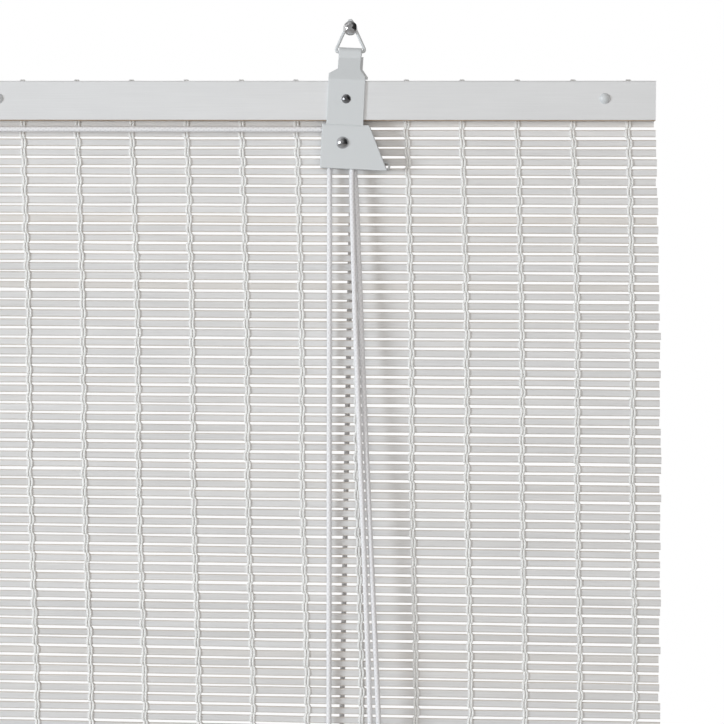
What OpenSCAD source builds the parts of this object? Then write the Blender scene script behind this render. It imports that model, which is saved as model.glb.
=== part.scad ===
// White bamboo roll up blind with a cord lock, hung on two wall screws, in millimetres.
// X runs to the right, Y into the wall and Z up, from the point on the wall midway between the screws.

/* [Mat] */
// Width of the slats and of both battens
blind_w = 600; // [440:10:900]
// Slats that hang flat, those behind the rail counted
slat_rows = 120; // [60:1:120]
// Distance from one slat to the next
slat_pitch = 4.4; // [4.2:0.1:5]
// Height of a slat
slat_h = 3.3; // [2.6:0.1:3.6]
// Thickness of a slat
slat_t = 1.6; // [1.2:0.1:2]
// Pairs of warp threads across the blind
warp_count = 24; // [10:2:30]
// Distance from a slat's end to the outermost pair
warp_margin = 10.5; // [6:0.5:14]
// Width of one thread
thread_w = 1.3; // [0.8:0.1:1.5]
// How far a thread stands proud of the slats
thread_t = 0.7; // [0.4:0.1:1]

/* [Roll] */
// Length of mat wound into the roll
rolled_len = 370; // [200:10:900]
// Growth of the roll in one turn
turn_pitch = 2.6; // [2.6:0.1:3.4]
// Radius of the bottom rod
rod_r = 8.4; // [6:0.2:12]

/* [Head rail] */
// Height of both battens
rail_h = 18; // [16:0.5:24]
// Thickness of the front batten
front_batten_t = 8; // [7.5:0.5:10]
// Thickness of the back batten
back_batten_t = 4; // [3:0.5:6]
// Distance from the wall screws down to the rail
rail_drop = 24; // [22:0.5:30]
// Room between the wall and the back batten
wall_gap = 5; // [4.6:0.2:12]

/* [Hangers] */
// Distance between the two wall screws
hang_span = 322.6; // [240:0.2:380]
// Radius of the ring's wire
wire_r = 0.7; // [0.5:0.05:0.9]
// Half of the ring's foot, between corner centres
ring_half = 7; // [6.6:0.1:9]
// Depth of the ring's foot below the screw
ring_foot = 10.6; // [9:0.2:13]
// Radius of the screw's thread
screw_r = 1.75; // [1.5:0.05:2.25]
// Radius of the screw's neck, which carries the ring
neck_r = 1.25; // [1:0.05:1.4]
// Radius of the screw's pan head
head_r = 3.25; // [2.8:0.05:4]

/* [Cord lock] */
// Thickness of the folded sheet
sheet_t = 0.8; // [0.6:0.1:1]
// Lean of the lock bracket, top to the right
lock_lean = 2.7; // [0:0.1:4]
// How far the strap's top is cranked back over the rail
strap_crank = 4; // [3.5:0.25:5]
// Height of the housing below the rail
housing_h = 20.2; // [19:0.1:24]
// Radius of a cord
cord_r = 1.2; // [0.9:0.05:1.3]
// Radius of a cord's centre line on a pulley
wrap_r = 6.2; // [5.8:0.1:6.6]
// Radius of the rivet that carries a pulley
pin_r = 1.5; // [1.2:0.05:1.8]
// Radius of the knurled jam roller
jam_r = 3.1; // [2.6:0.1:3.3]

/* [Clearances] */
// Between a pulley and its rivet, on the radius
run_gap = 0.05; // [0.02:0.01:0.1]
// Between a staple's crown and the cord it holds
staple_gap = 0.45; // [0.35:0.05:0.6]
// Half of the gap between the two cords on a pulley
cord_gap = 0.1; // [0.05:0.05:0.15]
// Between a moving piece and what it passes
move_gap = 0.3; // [0.2:0.05:0.4]
// Around a rivet or screw in wood and sheet
fit_gap = 0.04; // [0.02:0.01:0.1]
// Between the ring's wire and the rolled hem, on the radius
hem_gap = 0.4; // [0.35:0.05:0.6]

/* [Hidden] */
$fn = 40;
half_w = blind_w / 2;
hang_x = hang_span / 2;
slat_gap = slat_pitch - slat_h;
mat_top = -rail_drop + 0.2;
mat_y = -(wall_gap + back_batten_t + thread_t + slat_t / 2);
mat_front = mat_y - slat_t / 2 - thread_t;
rail_front = mat_front - front_batten_t;
strap_front = rail_front - sheet_t;
rail_bottom = -rail_drop - rail_h;
flat_bottom = mat_top - (slat_rows - 1) * slat_pitch - slat_h;
warp_edge = half_w - warp_margin;
warp_pitch = 2 * warp_edge / (warp_count - 1);
web_w = 2 * thread_w + 0.6;
// Rivets sit in the gap below the second slat, at the middle and near both ends
rivet_x = [-half_w + 23, 0, half_w - 23];
rivet_z = mat_top - 2 * slat_pitch + slat_gap / 2;
rivet_r = 1.5;
// The rolled hem at the top of each strap, which holds the ring's foot
hem_bore = wire_r + hem_gap;
hem_r = hem_bore + sheet_t;
hem_y = strap_front + strap_crank + hem_r;
hem_z = -ring_foot;
// Ring legs rest on the screw's neck
ring_apex = (neck_r + wire_r + 0.02) / sin(atan(ring_half / (ring_foot + 4.75)));
head_y = hem_y - wire_r - 0.6;
// Places on the lock bracket, from the hem, before it leans
fold_w = ring_foot - rail_drop - rail_h - 1.8;
foot_w = fold_w - housing_h;
pin_u = -1.25;
pin_w = fold_w - 8.4;
strap_l = -9.1;
strap_r = 7.8;
leaf_shift = 0.9;
house_l = -11;
house_r = 10.5;
house_foot_r = house_r + 0.454 * housing_h;
slant = atan(0.454);
screw_u = -0.6;
screw_w = -(rail_drop - ring_foot) - rail_h * 0.46;
back_plate_y = mat_front - move_gap;
room_y = back_plate_y - sheet_t;
pulley_y = (rail_front + room_y) / 2;
pulley_w = room_y - rail_front - 2 * move_gap;
cord_back_y = pulley_y + cord_r + cord_gap;
cord_front_y = pulley_y - cord_r - cord_gap;
// Row-frame places of the lock's rivet, which the cords share
pin_x = hang_x + pin_u * cos(lock_lean) + pin_w * sin(lock_lean);
pin_z = hem_z - pin_u * sin(lock_lean) + pin_w * cos(lock_lean);
guide_w = pin_z - hem_z;
// The jam roller lies between the cords and the slanted wall
jam_u = pin_u + wrap_r + cord_r + move_gap + jam_r;
jam_reach = sheet_t + move_gap + jam_r;
jam_w = fold_w - (jam_reach + (jam_u - house_r) * cos(slant)) / sin(slant);
// The roll hangs behind the mat, which runs onto its front
turn_in = rod_r + slat_t / 2 + 0.2;
turn_out = sqrt(turn_in * turn_in + rolled_len * turn_pitch / PI);
roll_y = mat_y + turn_out;
roll_z = flat_bottom - slat_gap;
loop_r = turn_out + slat_t / 2 + thread_t + cord_r + 0.15;
// Lift cords: the front strand, the loop under the roll and the back strand up to its staple
lift_x = [pin_x - wrap_r, -hang_x - wrap_r];
lift_top_y = [cord_back_y, cord_front_y];
anchor_x = [hang_x + 1, -hang_x + 4];
anchor_y = -wall_gap + cord_r + 0.15;
anchor_z = rail_bottom + 8;
loop_turn = 180 + atan((roll_y + loop_r - anchor_y) / (anchor_z - roll_z));
loop_end = [roll_y - loop_r * cos(loop_turn), roll_z - loop_r * sin(loop_turn)];
staple_r = 0.5;
// Pull cords, from the lock's pulley down to the cord pull
pull_1 = [for (p = [
    [6.2, -15.3, -53], [5.8, -15.5, -58], [5.3, -15.8, -65], [6.2, -16.2, -78],
    [7.1, -16.8, -100], [8.2, -17.7, -125], [9.2, -18.6, -150], [11.5, -20.4, -200],
    [14, -22, -250], [17.1, -23.4, -315], [19.2, -24, -380], [20.5, -24, -450],
    [21, -24, -520], [21.2, -24, -590], [21.2, -24, -625], [21.2, -24, -648]
]) p + [pin_x, 0, 0]];
pull_2 = [for (p = [
    [6.2, -17.9, -53], [5.2, -18, -58], [4.2, -18.2, -65], [4.3, -18.6, -78],
    [4.9, -19.2, -100], [5.7, -20, -125], [6.7, -20.8, -150], [8.6, -22, -200],
    [10.8, -23, -250], [13.3, -23.8, -315], [15.4, -24, -380], [16.9, -24, -450],
    [17.9, -24, -520], [18.4, -24, -590], [18.6, -24, -625], [18.6, -24, -648]
]) p + [pin_x, 0, 0]];
cord_pull_at = [pin_x + 19.9, -24, -640];

paint = [0.84, 0.845, 0.85];
thread_tint = [0.92, 0.92, 0.92];
metal_paint = [0.8, 0.82, 0.83];
steel = [0.78, 0.79, 0.8];
cord_tint = [0.87, 0.875, 0.9];
wood = [0.82, 0.72, 0.55];

// Helpers that several sub-parts share

// A round bar from p to q
module bar(p, q, r) {
    d = q - p;
    len = norm(d);
    translate(p)
        rotate([0, acos(d[2] / len), atan2(d[1], d[0])])
            cylinder(h = len, r = r);
}

// Stands what is drawn along Z along Y, pointing into the wall
module into_wall() {
    rotate([-90, 0, 0]) children();
}

// Extrudes an outline drawn in X and Z from the plane front_y by depth into the wall
module plate(front_y, depth) {
    translate([0, front_y + depth, 0])
        rotate([90, 0, 0])
            linear_extrude(height = depth) children();
}

// Extrudes an outline drawn in Y and Z along X, centred
module along_x(len) {
    rotate([90, 0, 90])
        linear_extrude(height = len, center = true) children();
}

// Puts a lock piece on the leaning bracket
module on_lock() {
    translate([hang_x, 0, hem_z])
        rotate([0, lock_lean, 0]) children();
}

// Puts a guide piece on the upright bracket at the other end
module on_guide() {
    translate([-hang_x, 0, hem_z]) children();
}

// Part of a cord's turn over a pulley, from angle to angle, counted from the right
module wrap(at, from, to) {
    translate(at)
        rotate([90, 0, 0])
            rotate([0, 0, from])
                rotate_extrude(angle = to - from)
                    translate([wrap_r, 0]) circle(cord_r, $fn = 16);
}

// A domed head in profile: radius r, height h, standing on the line y = 0
module dome_profile(r, h) {
    ball = (r * r + h * h) / (2 * h);
    intersection() {
        translate([0, h - ball]) circle(ball, $fn = 80);
        square([r + 1, h]);
    }
}

// A tube of 8 sides along the points of a route
module tube(route, r) {
    n = len(route);
    sides = 8;
    ring = [for (i = [0 : n - 1])
        let (
            d = route[min(i + 1, n - 1)] - route[max(i - 1, 0)],
            t = d / norm(d),
            a = cross([0, 1, 0], t) / norm(cross([0, 1, 0], t)),
            b = cross(t, a)
        )
        for (k = [0 : sides - 1])
            route[i] + r * (cos(360 * k / sides) * a + sin(360 * k / sides) * b)];
    skin = [for (i = [0 : n - 2])
        for (k = [0 : sides - 1])
            let (m = (k + 1) % sides)
            [i * sides + k, (i + 1) * sides + k, (i + 1) * sides + m, i * sides + m]];
    start = [for (k = [0 : sides - 1]) k];
    end = [for (k = [sides - 1 : -1 : 0]) (n - 1) * sides + k];
    polyhedron(points = ring, faces = concat(skin, [start], [end]), convexity = 4);
}

// Wall screws and hanger rings

// Pan-head screw along Y: head, plain neck in front of the wall, thread and point in it
module wall_screw(x) {
    head_h = 2.3;
    color(steel)
        translate([x, 0, 0])
            into_wall()
                difference() {
                    union() {
                        translate([0, 0, head_y])
                            rotate([180, 0, 0])
                                rotate_extrude() dome_profile(head_r, head_h);
                        rotate_extrude()
                            polygon([
                                [0, head_y], [neck_r, head_y], [neck_r, -1], [screw_r, -0.5],
                                [screw_r, 20], [0, 25]
                            ]);
                    }
                    for (turn = [35, 125])
                        rotate([0, 0, turn])
                            translate([-head_r * 0.6, -0.5, head_y - head_h - 0.1])
                                cube([head_r * 1.2, 1, 1.4]);
                }
}

// Triangle of wire: its legs rest on the screw's neck, its foot lies in the strap's hem
module hanger_ring(x) {
    lean = atan(ring_half / (ring_foot + ring_apex));
    top_r = wire_r + 0.1;
    foot_r = wire_r + 0.2;
    foot_x = ring_half - foot_r * (1 + sin(lean)) / cos(lean);
    top = [0, ring_apex - top_r / sin(lean), top_r];
    left = [-foot_x, hem_z + foot_r, foot_r];
    right = [foot_x, hem_z + foot_r, foot_r];
    // Each spot: the bend's middle and radius, and the angle on it
    spots = concat(
        [for (k = [0 : 5]) concat(top, lean + k * (180 - 2 * lean) / 5)],
        [for (k = [0 : 3]) concat(left, 180 - lean + k * (90 + lean) / 3)],
        [for (k = [0 : 3]) concat(right, 270 + k * (90 + lean) / 3)]
    );
    n = len(spots);
    sides = 12;
    skin = [for (s = spots)
        for (k = [0 : sides - 1])
            let (out = s[2] + wire_r * cos(360 * k / sides))
            [s[0] + out * cos(s[3]), hem_y + wire_r * sin(360 * k / sides), s[1] + out * sin(s[3])]];
    quads = [for (i = [0 : n - 1])
        for (k = [0 : sides - 1])
            let (j = (i + 1) % n, m = (k + 1) % sides)
            [i * sides + k, j * sides + k, j * sides + m, i * sides + m]];
    color(paint)
        translate([x, 0, 0])
            polyhedron(points = skin, faces = quads, convexity = 4);
}

// Head rail

module front_batten() {
    edge = 0.8;
    color(paint)
        difference() {
            along_x(blind_w)
                translate([rail_front + edge, rail_bottom + edge])
                    offset(r = edge, $fn = 24)
                        square([front_batten_t - 2 * edge, rail_h - 2 * edge]);
            rivet_bores();
            bracket_screw_bore();
        }
}

module back_batten() {
    edge = 0.6;
    color(paint)
        difference() {
            along_x(blind_w)
                translate([-wall_gap - back_batten_t + edge, rail_bottom + edge])
                    offset(r = edge, $fn = 24)
                        square([back_batten_t - 2 * edge, rail_h - 2 * edge]);
            rivet_bores();
            for (i = [0, 1])
                for (side = [-1, 1])
                    translate([anchor_x[i] + side * (cord_r + staple_r + 0.2), -wall_gap - 2.5, anchor_z])
                        into_wall() cylinder(h = 3, r = staple_r + fit_gap, $fn = 20);
        }
}

module rivet_bores() {
    for (x = rivet_x)
        translate([x, rail_front - 1, rivet_z])
            into_wall() cylinder(h = 40, r = rivet_r + fit_gap);
}

module bracket_screw_bore() {
    on_lock()
        translate([screw_u, rail_front - 1, screw_w])
            into_wall() cylinder(h = 7.4, r = 1.25 + fit_gap);
    on_guide()
        translate([0, rail_front - 1, screw_w])
            into_wall() cylinder(h = 7.4, r = 1.25 + fit_gap);
}

// Three rivets: domed in front, clenched flat behind the back batten
module rail_rivets() {
    color(metal_paint)
        for (x = rivet_x)
            translate([x, 0, rivet_z])
                into_wall() {
                    translate([0, 0, rail_front])
                        rotate([180, 0, 0])
                            rotate_extrude() dome_profile(2.5, 1.5);
                    translate([0, 0, rail_front])
                        cylinder(h = -wall_gap - rail_front, r = rivet_r);
                    translate([0, 0, -wall_gap])
                        cylinder(h = 0.7, r = 2.4);
                }
}

// Mat

function row_top(i) = mat_top - i * slat_pitch;

// One wall of slats: free ends outside, webs at the outermost threads, one slit a gap between them
module slat_mat() {
    web_out = warp_edge + web_w / 2;
    web_in = warp_edge - web_w / 2;
    right = [for (i = [0 : slat_rows - 1])
        each concat(
            [[half_w, row_top(i)], [half_w, row_top(i) - slat_h]],
            i < slat_rows - 1 ? [[web_out, row_top(i) - slat_h], [web_out, row_top(i + 1)]] : []
        )];
    left = [for (k = [len(right) - 1 : -1 : 0]) [-right[k][0], right[k][1]]];
    rim = concat(right, left);
    slits = [for (i = [0 : slat_rows - 2])
        each [
            [-web_in, row_top(i) - slat_h], [web_in, row_top(i) - slat_h],
            [web_in, row_top(i + 1)], [-web_in, row_top(i + 1)]
        ]];
    paths = concat(
        [[for (k = [0 : len(rim) - 1]) k]],
        [for (i = [0 : slat_rows - 2]) [for (c = [0 : 3]) len(rim) + 4 * i + c]]
    );
    color(paint)
        plate(mat_y - slat_t / 2, slat_t)
            difference() {
                polygon(points = concat(rim, slits), paths = paths);
                for (x = rivet_x)
                    translate([x, rivet_z]) circle(rivet_r + 0.1);
            }
}

// Pairs of threads, flat against the slats in front and behind
module warp_threads() {
    length = mat_top - flat_bottom;
    color(thread_tint)
        for (k = [0 : warp_count - 1])
            for (side = [-1, 1])
                for (face = [-1, 1])
                    translate([
                        -warp_edge + k * warp_pitch + side * (thread_w / 2 + 0.2),
                        mat_y + face * slat_t / 2,
                        flat_bottom
                    ])
                        linear_extrude(height = length)
                            polygon([
                                [-thread_w / 2, 0], [thread_w / 2, 0],
                                [thread_w / 4, face * thread_t], [-thread_w / 4, face * thread_t]
                            ]);
}

// Roll

// Angle of the spiral at the length s of mat from where it leaves the flat
function turn_at(s) = 360 * (turn_out - sqrt(turn_out * turn_out - s * turn_pitch / PI)) / turn_pitch;

// Point of the spiral at the length s, stood out by off from the slats' middle
function spiral(s, off) =
    let (a = turn_at(s), r = turn_out - turn_pitch * a / 360 + off)
    [roll_y - r * cos(a), roll_z - r * sin(a)];

// The turns as one strip: each slat is a flat facet, with a groove before the next
module rolled_mat() {
    slats = floor((rolled_len - slat_h) / slat_pitch);
    outside = [for (k = [0 : slats])
        each concat(
            [spiral(k * slat_pitch, slat_t / 2), spiral(k * slat_pitch + slat_h, slat_t / 2)],
            k < slats ? [
                spiral(k * slat_pitch + slat_h, -slat_t * 0.1),
                spiral((k + 1) * slat_pitch, -slat_t * 0.1)
            ] : []
        )];
    inside = [for (k = [slats : -1 : 0])
        each [
            spiral(k * slat_pitch + slat_h, -slat_t / 2),
            spiral(k * slat_pitch, -slat_t / 2)
        ]];
    color(paint)
        along_x(blind_w) polygon(concat(outside, inside));
}

module bottom_rod() {
    color(wood)
        translate([-half_w, roll_y, roll_z])
            rotate([0, 90, 0]) cylinder(h = blind_w, r = rod_r, $fn = 64);
}

// Brackets of folded sheet

// Strap outline from the hem down to the fold
module strap_outline(axis_u) {
    l = strap_l - axis_u;
    r = strap_r - axis_u;
    polygon([
        [-5.2, 0], [-5.2, -8], [l, -10.4], [l, fold_w - 0.5],
        [r, fold_w - 0.5], [r, -11.4], [5.2, -8], [5.2, 0]
    ]);
}

// What is left of the sheet below the hem, folded down behind the strap and a little to the right
module leaf_outline(axis_u, end_w) {
    l = strap_l - axis_u + leaf_shift;
    r = strap_r - axis_u + leaf_shift;
    neck = 5.2;
    top = -hem_r - 0.3;
    polygon([
        [leaf_shift - neck, top], [leaf_shift - neck, -8], [l, -10.4], [l, end_w],
        [r, end_w], [r, -11.4], [leaf_shift + neck, -8], [leaf_shift + neck, top]
    ]);
}

// The strap: its outline, cranked back above the rail so that the blind hangs close to plumb
module strap(axis_u) {
    leaf_y = sheet_t - 0.1;
    bend_w = ring_foot - rail_drop + 0.6;
    eye_w = -hem_r - 1;
    edge = [
        [strap_front, fold_w - 1], [strap_front, bend_w],
        [strap_front + strap_crank, eye_w], [strap_front + strap_crank, 0]
    ];
    intersection() {
        plate(strap_front - 1, strap_crank + sheet_t + 2) strap_outline(axis_u);
        along_x(4 * ring_half)
            polygon(concat(edge, [for (k = [3 : -1 : 0]) edge[k] + [sheet_t, 0]]));
    }
    intersection() {
        plate(strap_front - 1, strap_crank + 2 * sheet_t + 2) leaf_outline(axis_u, bend_w + 0.3);
        along_x(4 * ring_half)
            polygon(concat(
                [for (p = edge) p + [leaf_y, 0]],
                [for (k = [3 : -1 : 0]) edge[k] + [leaf_y + sheet_t, 0]]
            ));
    }
}

// The rolled hem: a closed eye of sheet, tangent to the strap's front
module hem() {
    translate([0, hem_y, 0])
        rotate([0, 90, 0])
            difference() {
                cylinder(h = 10.4, r = hem_r, center = true);
                cylinder(h = 11, r = hem_bore, center = true);
            }
}

// Front and back outline of the lock's housing
module housing_outline() {
    polygon([
        [house_l, fold_w], [house_r, fold_w], [house_foot_r, foot_w], [house_l + 0.3, foot_w],
        [house_l, foot_w + 0.3]
    ]);
}

// The back plate's edge, curled round in front of the slanted wall's foot
module foot_curl() {
    curl_r = 2.1;
    rise = curl_r + 0.1;
    depth = 4;
    plate(back_plate_y - depth, depth)
        intersection() {
            translate([house_foot_r - 0.454 * rise, foot_w + rise])
                difference() {
                    circle(curl_r);
                    circle(curl_r - sheet_t);
                }
            polygon([
                [house_r - 0.3, fold_w], [house_foot_r - 0.3, foot_w], [house_foot_r + 9, foot_w],
                [house_foot_r + 9, fold_w]
            ]);
        }
}

// Strap and housing in one sheet: front, left fold, back, slanted right wall and its lip
module lock_bracket() {
    depth = back_plate_y - strap_front;
    color(metal_paint)
        on_lock()
            difference() {
                union() {
                    strap(0);
                    hem();
                    plate(strap_front, sheet_t) housing_outline();
                    plate(room_y, sheet_t) housing_outline();
                    plate(strap_front, depth)
                        polygon([
                            [house_l, fold_w - 5], [house_l + sheet_t, fold_w - 5],
                            [house_l + sheet_t, foot_w + 0.3], [house_l, foot_w + 0.3]
                        ]);
                    plate(strap_front, depth)
                        polygon([
                            [house_r - sheet_t / cos(slant), fold_w], [house_r, fold_w],
                            [house_foot_r, foot_w], [house_foot_r - 6.4, foot_w],
                            [house_foot_r - 6.4, foot_w + sheet_t],
                            [house_foot_r - (sheet_t / cos(slant)) - 0.454 * sheet_t, foot_w + sheet_t]
                        ]);
                    foot_curl();
                }
                translate([strap_l - 1, strap_front - 1, fold_w - 0.6])
                    cube([strap_r - strap_l + 2, 1.15, 0.35]);
                translate([pin_u, strap_front - 1, pin_w])
                    into_wall() cylinder(h = 20, r = pin_r + fit_gap);
                translate([screw_u, strap_front - 1, screw_w])
                    into_wall() cylinder(h = 4, r = 1.25 + 2 * fit_gap);
                translate([0, hem_y, 0])
                    rotate([0, 90, 0]) cylinder(h = 11, r = hem_bore, center = true);
            }
}

// The other end's bracket: the same strap, over a clevis that is open to the right
module guide_bracket() {
    depth = back_plate_y - strap_front;
    reach = 10.4;
    color(metal_paint)
        on_guide()
            difference() {
                union() {
                    strap((strap_l + strap_r) / 2);
                    hem();
                    for (y = [strap_front, room_y])
                        plate(y, sheet_t)
                            translate([-reach, foot_w + 1.5]) square([2 * reach, fold_w - foot_w - 1.5]);
                    plate(strap_front, depth)
                        translate([-reach, foot_w + 1.5]) square([sheet_t, fold_w - foot_w - 1.5]);
                }
                translate([0, strap_front - 1, guide_w])
                    into_wall() cylinder(h = 20, r = pin_r + fit_gap);
                translate([0, strap_front - 1, screw_w])
                    into_wall() cylinder(h = 4, r = 1.25 + 2 * fit_gap);
                translate([0, hem_y, 0])
                    rotate([0, 90, 0]) cylinder(h = 11, r = hem_bore, center = true);
            }
}

// Slotted round-head screw that holds a strap to the rail
module bracket_screw() {
    color(steel)
        into_wall()
            difference() {
                union() {
                    translate([0, 0, strap_front])
                        rotate([180, 0, 0])
                            rotate_extrude() dome_profile(2.1, 1.1);
                    translate([0, 0, strap_front])
                        cylinder(h = 6.6, r = 1.25);
                }
                rotate([0, 0, 35])
                    translate([-3, -0.35, strap_front - 1.6])
                        cube([6, 0.7, 1]);
            }
}

// Rivet that carries a pulley, flush with the back plate
module pulley_pin() {
    color(steel)
        into_wall() {
            translate([0, 0, strap_front])
                rotate([180, 0, 0])
                    rotate_extrude() dome_profile(2.8, 1.7);
            translate([0, 0, strap_front])
                cylinder(h = back_plate_y - strap_front, r = pin_r);
        }
}

// Spool with one groove wide enough for two cords side by side
module pulley() {
    rim = wrap_r + 0.3;
    floor_r = wrap_r - cord_r - move_gap;
    lip = pulley_w / 2 - 2 * cord_r - cord_gap - 0.1;
    color(steel)
        into_wall()
            translate([0, 0, pulley_y - pulley_w / 2])
                rotate_extrude()
                    polygon([
                        [pin_r + run_gap, 0], [rim, 0], [rim, lip], [floor_r, lip + 0.1],
                        [floor_r, pulley_w - lip - 0.1], [rim, pulley_w - lip], [rim, pulley_w],
                        [pin_r + run_gap, pulley_w]
                    ]);
}

// Loose roller with straight teeth, which jams the cords when they run back
module jam_roller() {
    teeth = 18;
    color(steel)
        on_lock()
            translate([jam_u, pulley_y - pulley_w / 2, jam_w])
                into_wall()
                    linear_extrude(height = pulley_w)
                        polygon([for (k = [0 : 2 * teeth - 1])
                            (jam_r - (k % 2) * 0.35) * [cos(180 * k / teeth), sin(180 * k / teeth)]]);
}

// Cords

module lift_front(i) {
    color(cord_tint)
        bar(
            [lift_x[i], roll_y - loop_r, roll_z + move_gap],
            [lift_x[i], lift_top_y[i], pin_z - 0.05],
            cord_r, $fn = 16
        );
}

// Back strand with the knot at its top end
module lift_back(i) {
    top = [anchor_x[i], anchor_y, anchor_z + 4];
    color(cord_tint) {
        bar([lift_x[i], loop_end[0], loop_end[1] + move_gap], top, cord_r, $fn = 16);
        translate([anchor_x[i], -wall_gap + 2.15, anchor_z + 5])
            sphere(2.1, $fn = 24);
    }
}

module lift_loop(i) {
    color(cord_tint)
        translate([lift_x[i], roll_y, roll_z])
            rotate([-90, 0, -90])
                rotate_extrude(angle = loop_turn)
                    translate([loop_r, 0]) circle(cord_r, $fn = 16);
}

// The right lift cord's turn over the lock's pulley
module lock_turn_cord() {
    color(cord_tint) wrap([pin_x, cord_back_y, pin_z], 0, 180);
}

// From the guide's pulley across to the lock's
module cross_cord() {
    y = cord_front_y;
    color(cord_tint) {
        wrap([-hang_x, y, pin_z], 90, 180);
        bar([-hang_x, y, pin_z + wrap_r], [pin_x, y, pin_z + wrap_r], cord_r, $fn = 16);
        wrap([pin_x, y, pin_z], 0, 90);
    }
}

// Wire staple that holds a back strand to the back batten
module cord_staple(i) {
    leg = cord_r + staple_r + 0.2;
    crown_y = anchor_y + cord_r + staple_r + staple_gap;
    color(steel)
        translate([anchor_x[i], 0, anchor_z]) {
            bar([-leg, crown_y, 0], [leg, crown_y, 0], staple_r, $fn = 20);
            for (side = [-1, 1]) {
                bar([side * leg, -wall_gap - 2.4, 0], [side * leg, crown_y, 0], staple_r, $fn = 20);
                translate([side * leg, crown_y, 0]) sphere(staple_r, $fn = 20);
            }
        }
}

// Bell-shaped pull, hollow at the top for both cords and their knot
module cord_pull() {
    color(paint)
        translate(cord_pull_at)
            rotate_extrude()
                polygon([
                    [2.9, 0], [3.8, 0], [4.2, -1.5], [4.4, -6], [5.2, -12], [6.2, -18], [6.5, -22],
                    [6.2, -25], [5, -26], [0, -26], [0, -11], [2.9, -11]
                ]);
}

wall_screw(hang_x);  // wall_screw_right
wall_screw(-hang_x);  // wall_screw_left
hanger_ring(hang_x);  // hanger_ring_right
hanger_ring(-hang_x);  // hanger_ring_left
front_batten();
back_batten();
rail_rivets();
slat_mat();
warp_threads();
lock_bracket();
on_lock() translate([screw_u, 0, screw_w]) bracket_screw();  // lock_screw
on_lock() translate([pin_u, 0, pin_w]) pulley_pin();  // lock_pin
on_lock() translate([pin_u, 0, pin_w]) pulley();  // lock_pulley
jam_roller();
guide_bracket();
on_guide() translate([0, 0, screw_w]) bracket_screw();  // guide_screw
on_guide() translate([0, 0, guide_w]) pulley_pin();  // guide_pin
on_guide() translate([0, 0, guide_w]) pulley();  // guide_pulley
rolled_mat();
bottom_rod();
lift_front(0);  // lift_cord_right_front
lift_front(1);  // lift_cord_left_front
lift_back(0);  // lift_cord_right_back
lift_back(1);  // lift_cord_left_back
lift_loop(0);  // lift_loop_right
lift_loop(1);  // lift_loop_left
lock_turn_cord();
cross_cord();
cord_staple(0);  // cord_staple_right
cord_staple(1);  // cord_staple_left
color(cord_tint) tube(pull_1, cord_r);  // pull_cord_1
color(cord_tint) tube(pull_2, cord_r);  // pull_cord_2
cord_pull();
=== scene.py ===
import math

import bpy
import numpy as np
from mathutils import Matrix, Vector


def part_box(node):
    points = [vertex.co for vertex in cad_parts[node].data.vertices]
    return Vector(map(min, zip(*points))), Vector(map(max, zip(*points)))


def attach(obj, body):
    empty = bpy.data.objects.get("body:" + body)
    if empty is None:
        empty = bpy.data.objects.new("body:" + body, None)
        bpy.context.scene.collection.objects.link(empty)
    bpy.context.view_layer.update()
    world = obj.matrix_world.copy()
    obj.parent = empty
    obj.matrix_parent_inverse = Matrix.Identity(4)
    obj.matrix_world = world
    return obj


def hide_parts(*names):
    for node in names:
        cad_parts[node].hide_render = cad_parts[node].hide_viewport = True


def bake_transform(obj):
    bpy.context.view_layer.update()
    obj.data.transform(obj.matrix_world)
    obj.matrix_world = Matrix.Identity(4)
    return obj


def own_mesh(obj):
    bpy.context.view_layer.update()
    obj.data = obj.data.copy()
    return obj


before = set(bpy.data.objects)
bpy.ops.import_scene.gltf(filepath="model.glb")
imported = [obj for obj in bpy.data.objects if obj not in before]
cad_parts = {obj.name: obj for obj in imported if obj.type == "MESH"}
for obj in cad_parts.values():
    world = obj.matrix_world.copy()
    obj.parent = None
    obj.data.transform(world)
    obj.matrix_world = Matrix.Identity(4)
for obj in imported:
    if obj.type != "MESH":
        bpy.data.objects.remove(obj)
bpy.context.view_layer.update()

bl_info = {
    "name": "Bamboo Roll Up Blind",
    "version": (1, 0, 0),
    "blender": (4, 5, 0),
    "location": "View3D > Sidebar > Blind",
    "description": "Dresses the packed blind with slats, threads, cords, paint and metal",
    "category": "Object",
}

MM = 0.001

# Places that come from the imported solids
MAT_LOW, MAT_HIGH = (np.array(corner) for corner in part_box("slat_mat"))
RAIL_LOW = np.array(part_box("front_batten")[0])
ROD_LOW, ROD_HIGH = (np.array(corner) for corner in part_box("bottom_rod"))
THREAD_HIGH = np.array(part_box("warp_threads")[1])
PULLEY_LOW, PULLEY_HIGH = (np.array(corner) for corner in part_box("lock_pulley"))
GUIDE_LOW, GUIDE_HIGH = (np.array(corner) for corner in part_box("guide_pulley"))
MAT_Y = (MAT_LOW[1] + MAT_HIGH[1]) / 2
SLAT_T = MAT_HIGH[1] - MAT_LOW[1]
THREAD_T = THREAD_HIGH[1] - MAT_HIGH[1]
HALF_W = MAT_HIGH[0]
ROLL_Y = (ROD_LOW[1] + ROD_HIGH[1]) / 2
ROLL_Z = (ROD_LOW[2] + ROD_HIGH[2]) / 2
TURN_OUT = ROLL_Y - MAT_Y
PULLEY_AT = (PULLEY_LOW + PULLEY_HIGH) / 2
GUIDE_AT = (GUIDE_LOW + GUIDE_HIGH) / 2
FLAT_LEN = MAT_HIGH[2] - ROLL_Z

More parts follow.
